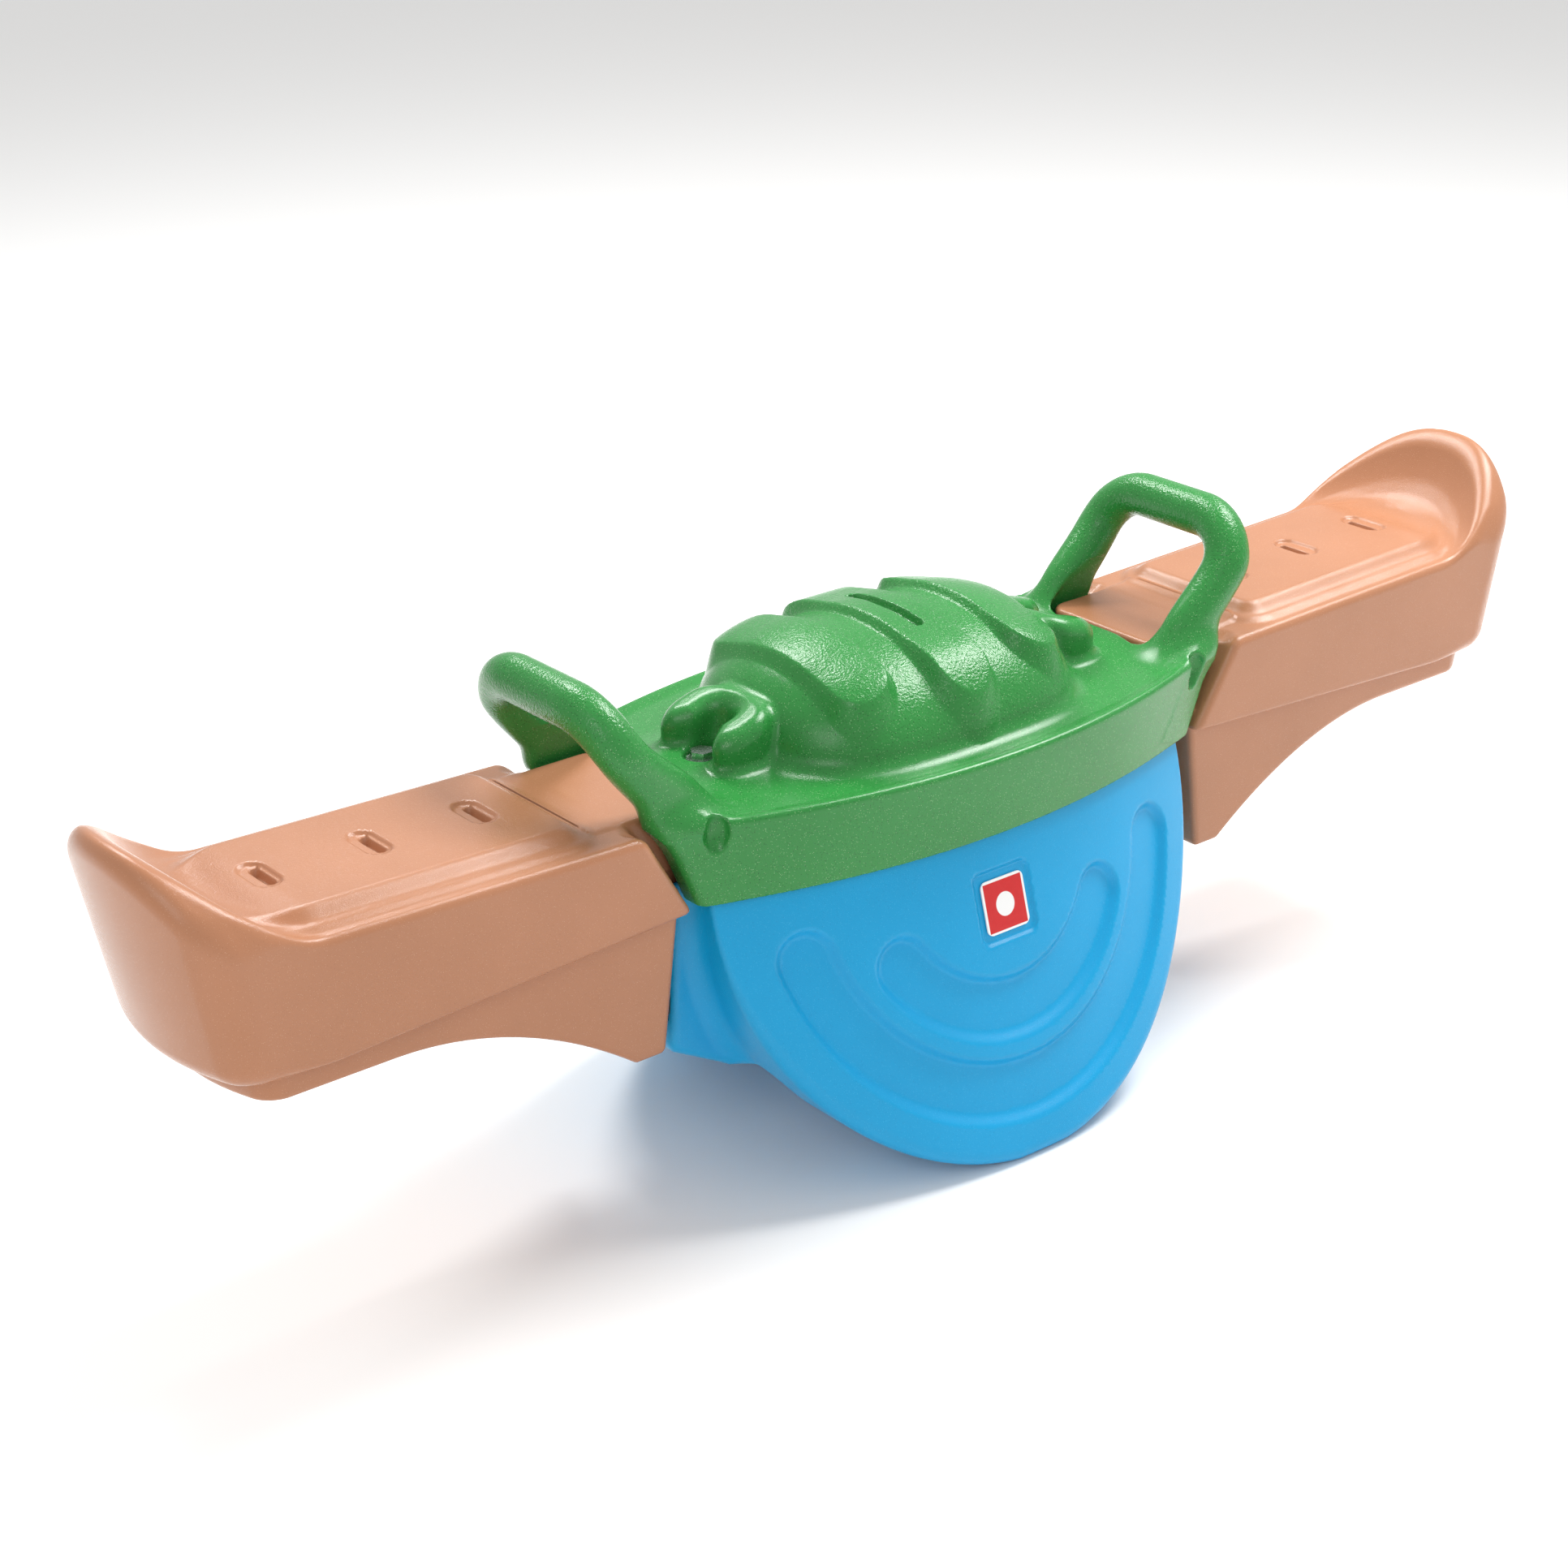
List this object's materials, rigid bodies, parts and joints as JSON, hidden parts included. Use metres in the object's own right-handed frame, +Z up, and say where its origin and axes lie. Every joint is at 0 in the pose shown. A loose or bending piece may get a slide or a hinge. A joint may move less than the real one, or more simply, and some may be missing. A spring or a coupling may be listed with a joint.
{
  "type": "rocking seesaw",
  "caption": "Child's two-seat rocking seesaw: a hollow half-round rocker base, a bolted-on domed cover with two grab loops, and two hollow seats with raised pads and back lips.",
  "frame": {"origin": "middle of the two rest flats of the rocker base, on the ground, below the centre of the cover", "axes": "+X along the seats towards seat_right, +Y across the seesaw towards its rear face, +Z up"},
  "size_m": [1.336, 0.3868, 0.4241],
  "materials": {
    "base_plastic": "satin blow-moulded polyethylene with a fine sparkle",
    "cover_plastic": "semi-gloss green polyethylene with dark and pale flecks",
    "seat_plastic": "semi-gloss tan polyethylene with a lightly stippled pad",
    "emblem": null,
    "zinc_steel": "bright zinc plate"
  },
  "bodies": {
    "root": {"rocker_base": "base_plastic", "top_cover": "cover_plastic", "seat_left": "seat_plastic", "seat_right": "seat_plastic", "emblem_front": "emblem", "emblem_rear": "emblem", "cover_bolt_left": "zinc_steel", "cover_bolt_right": "zinc_steel", "head_washer_left": "zinc_steel", "head_washer_right": "zinc_steel", "nut_washer_left": "zinc_steel", "nut_washer_right": "zinc_steel", "lock_nut_left": "zinc_steel", "lock_nut_right": "zinc_steel", "seat_screws_left": "zinc_steel", "seat_screws_right": "zinc_steel"}
  },
  "joints": []
}
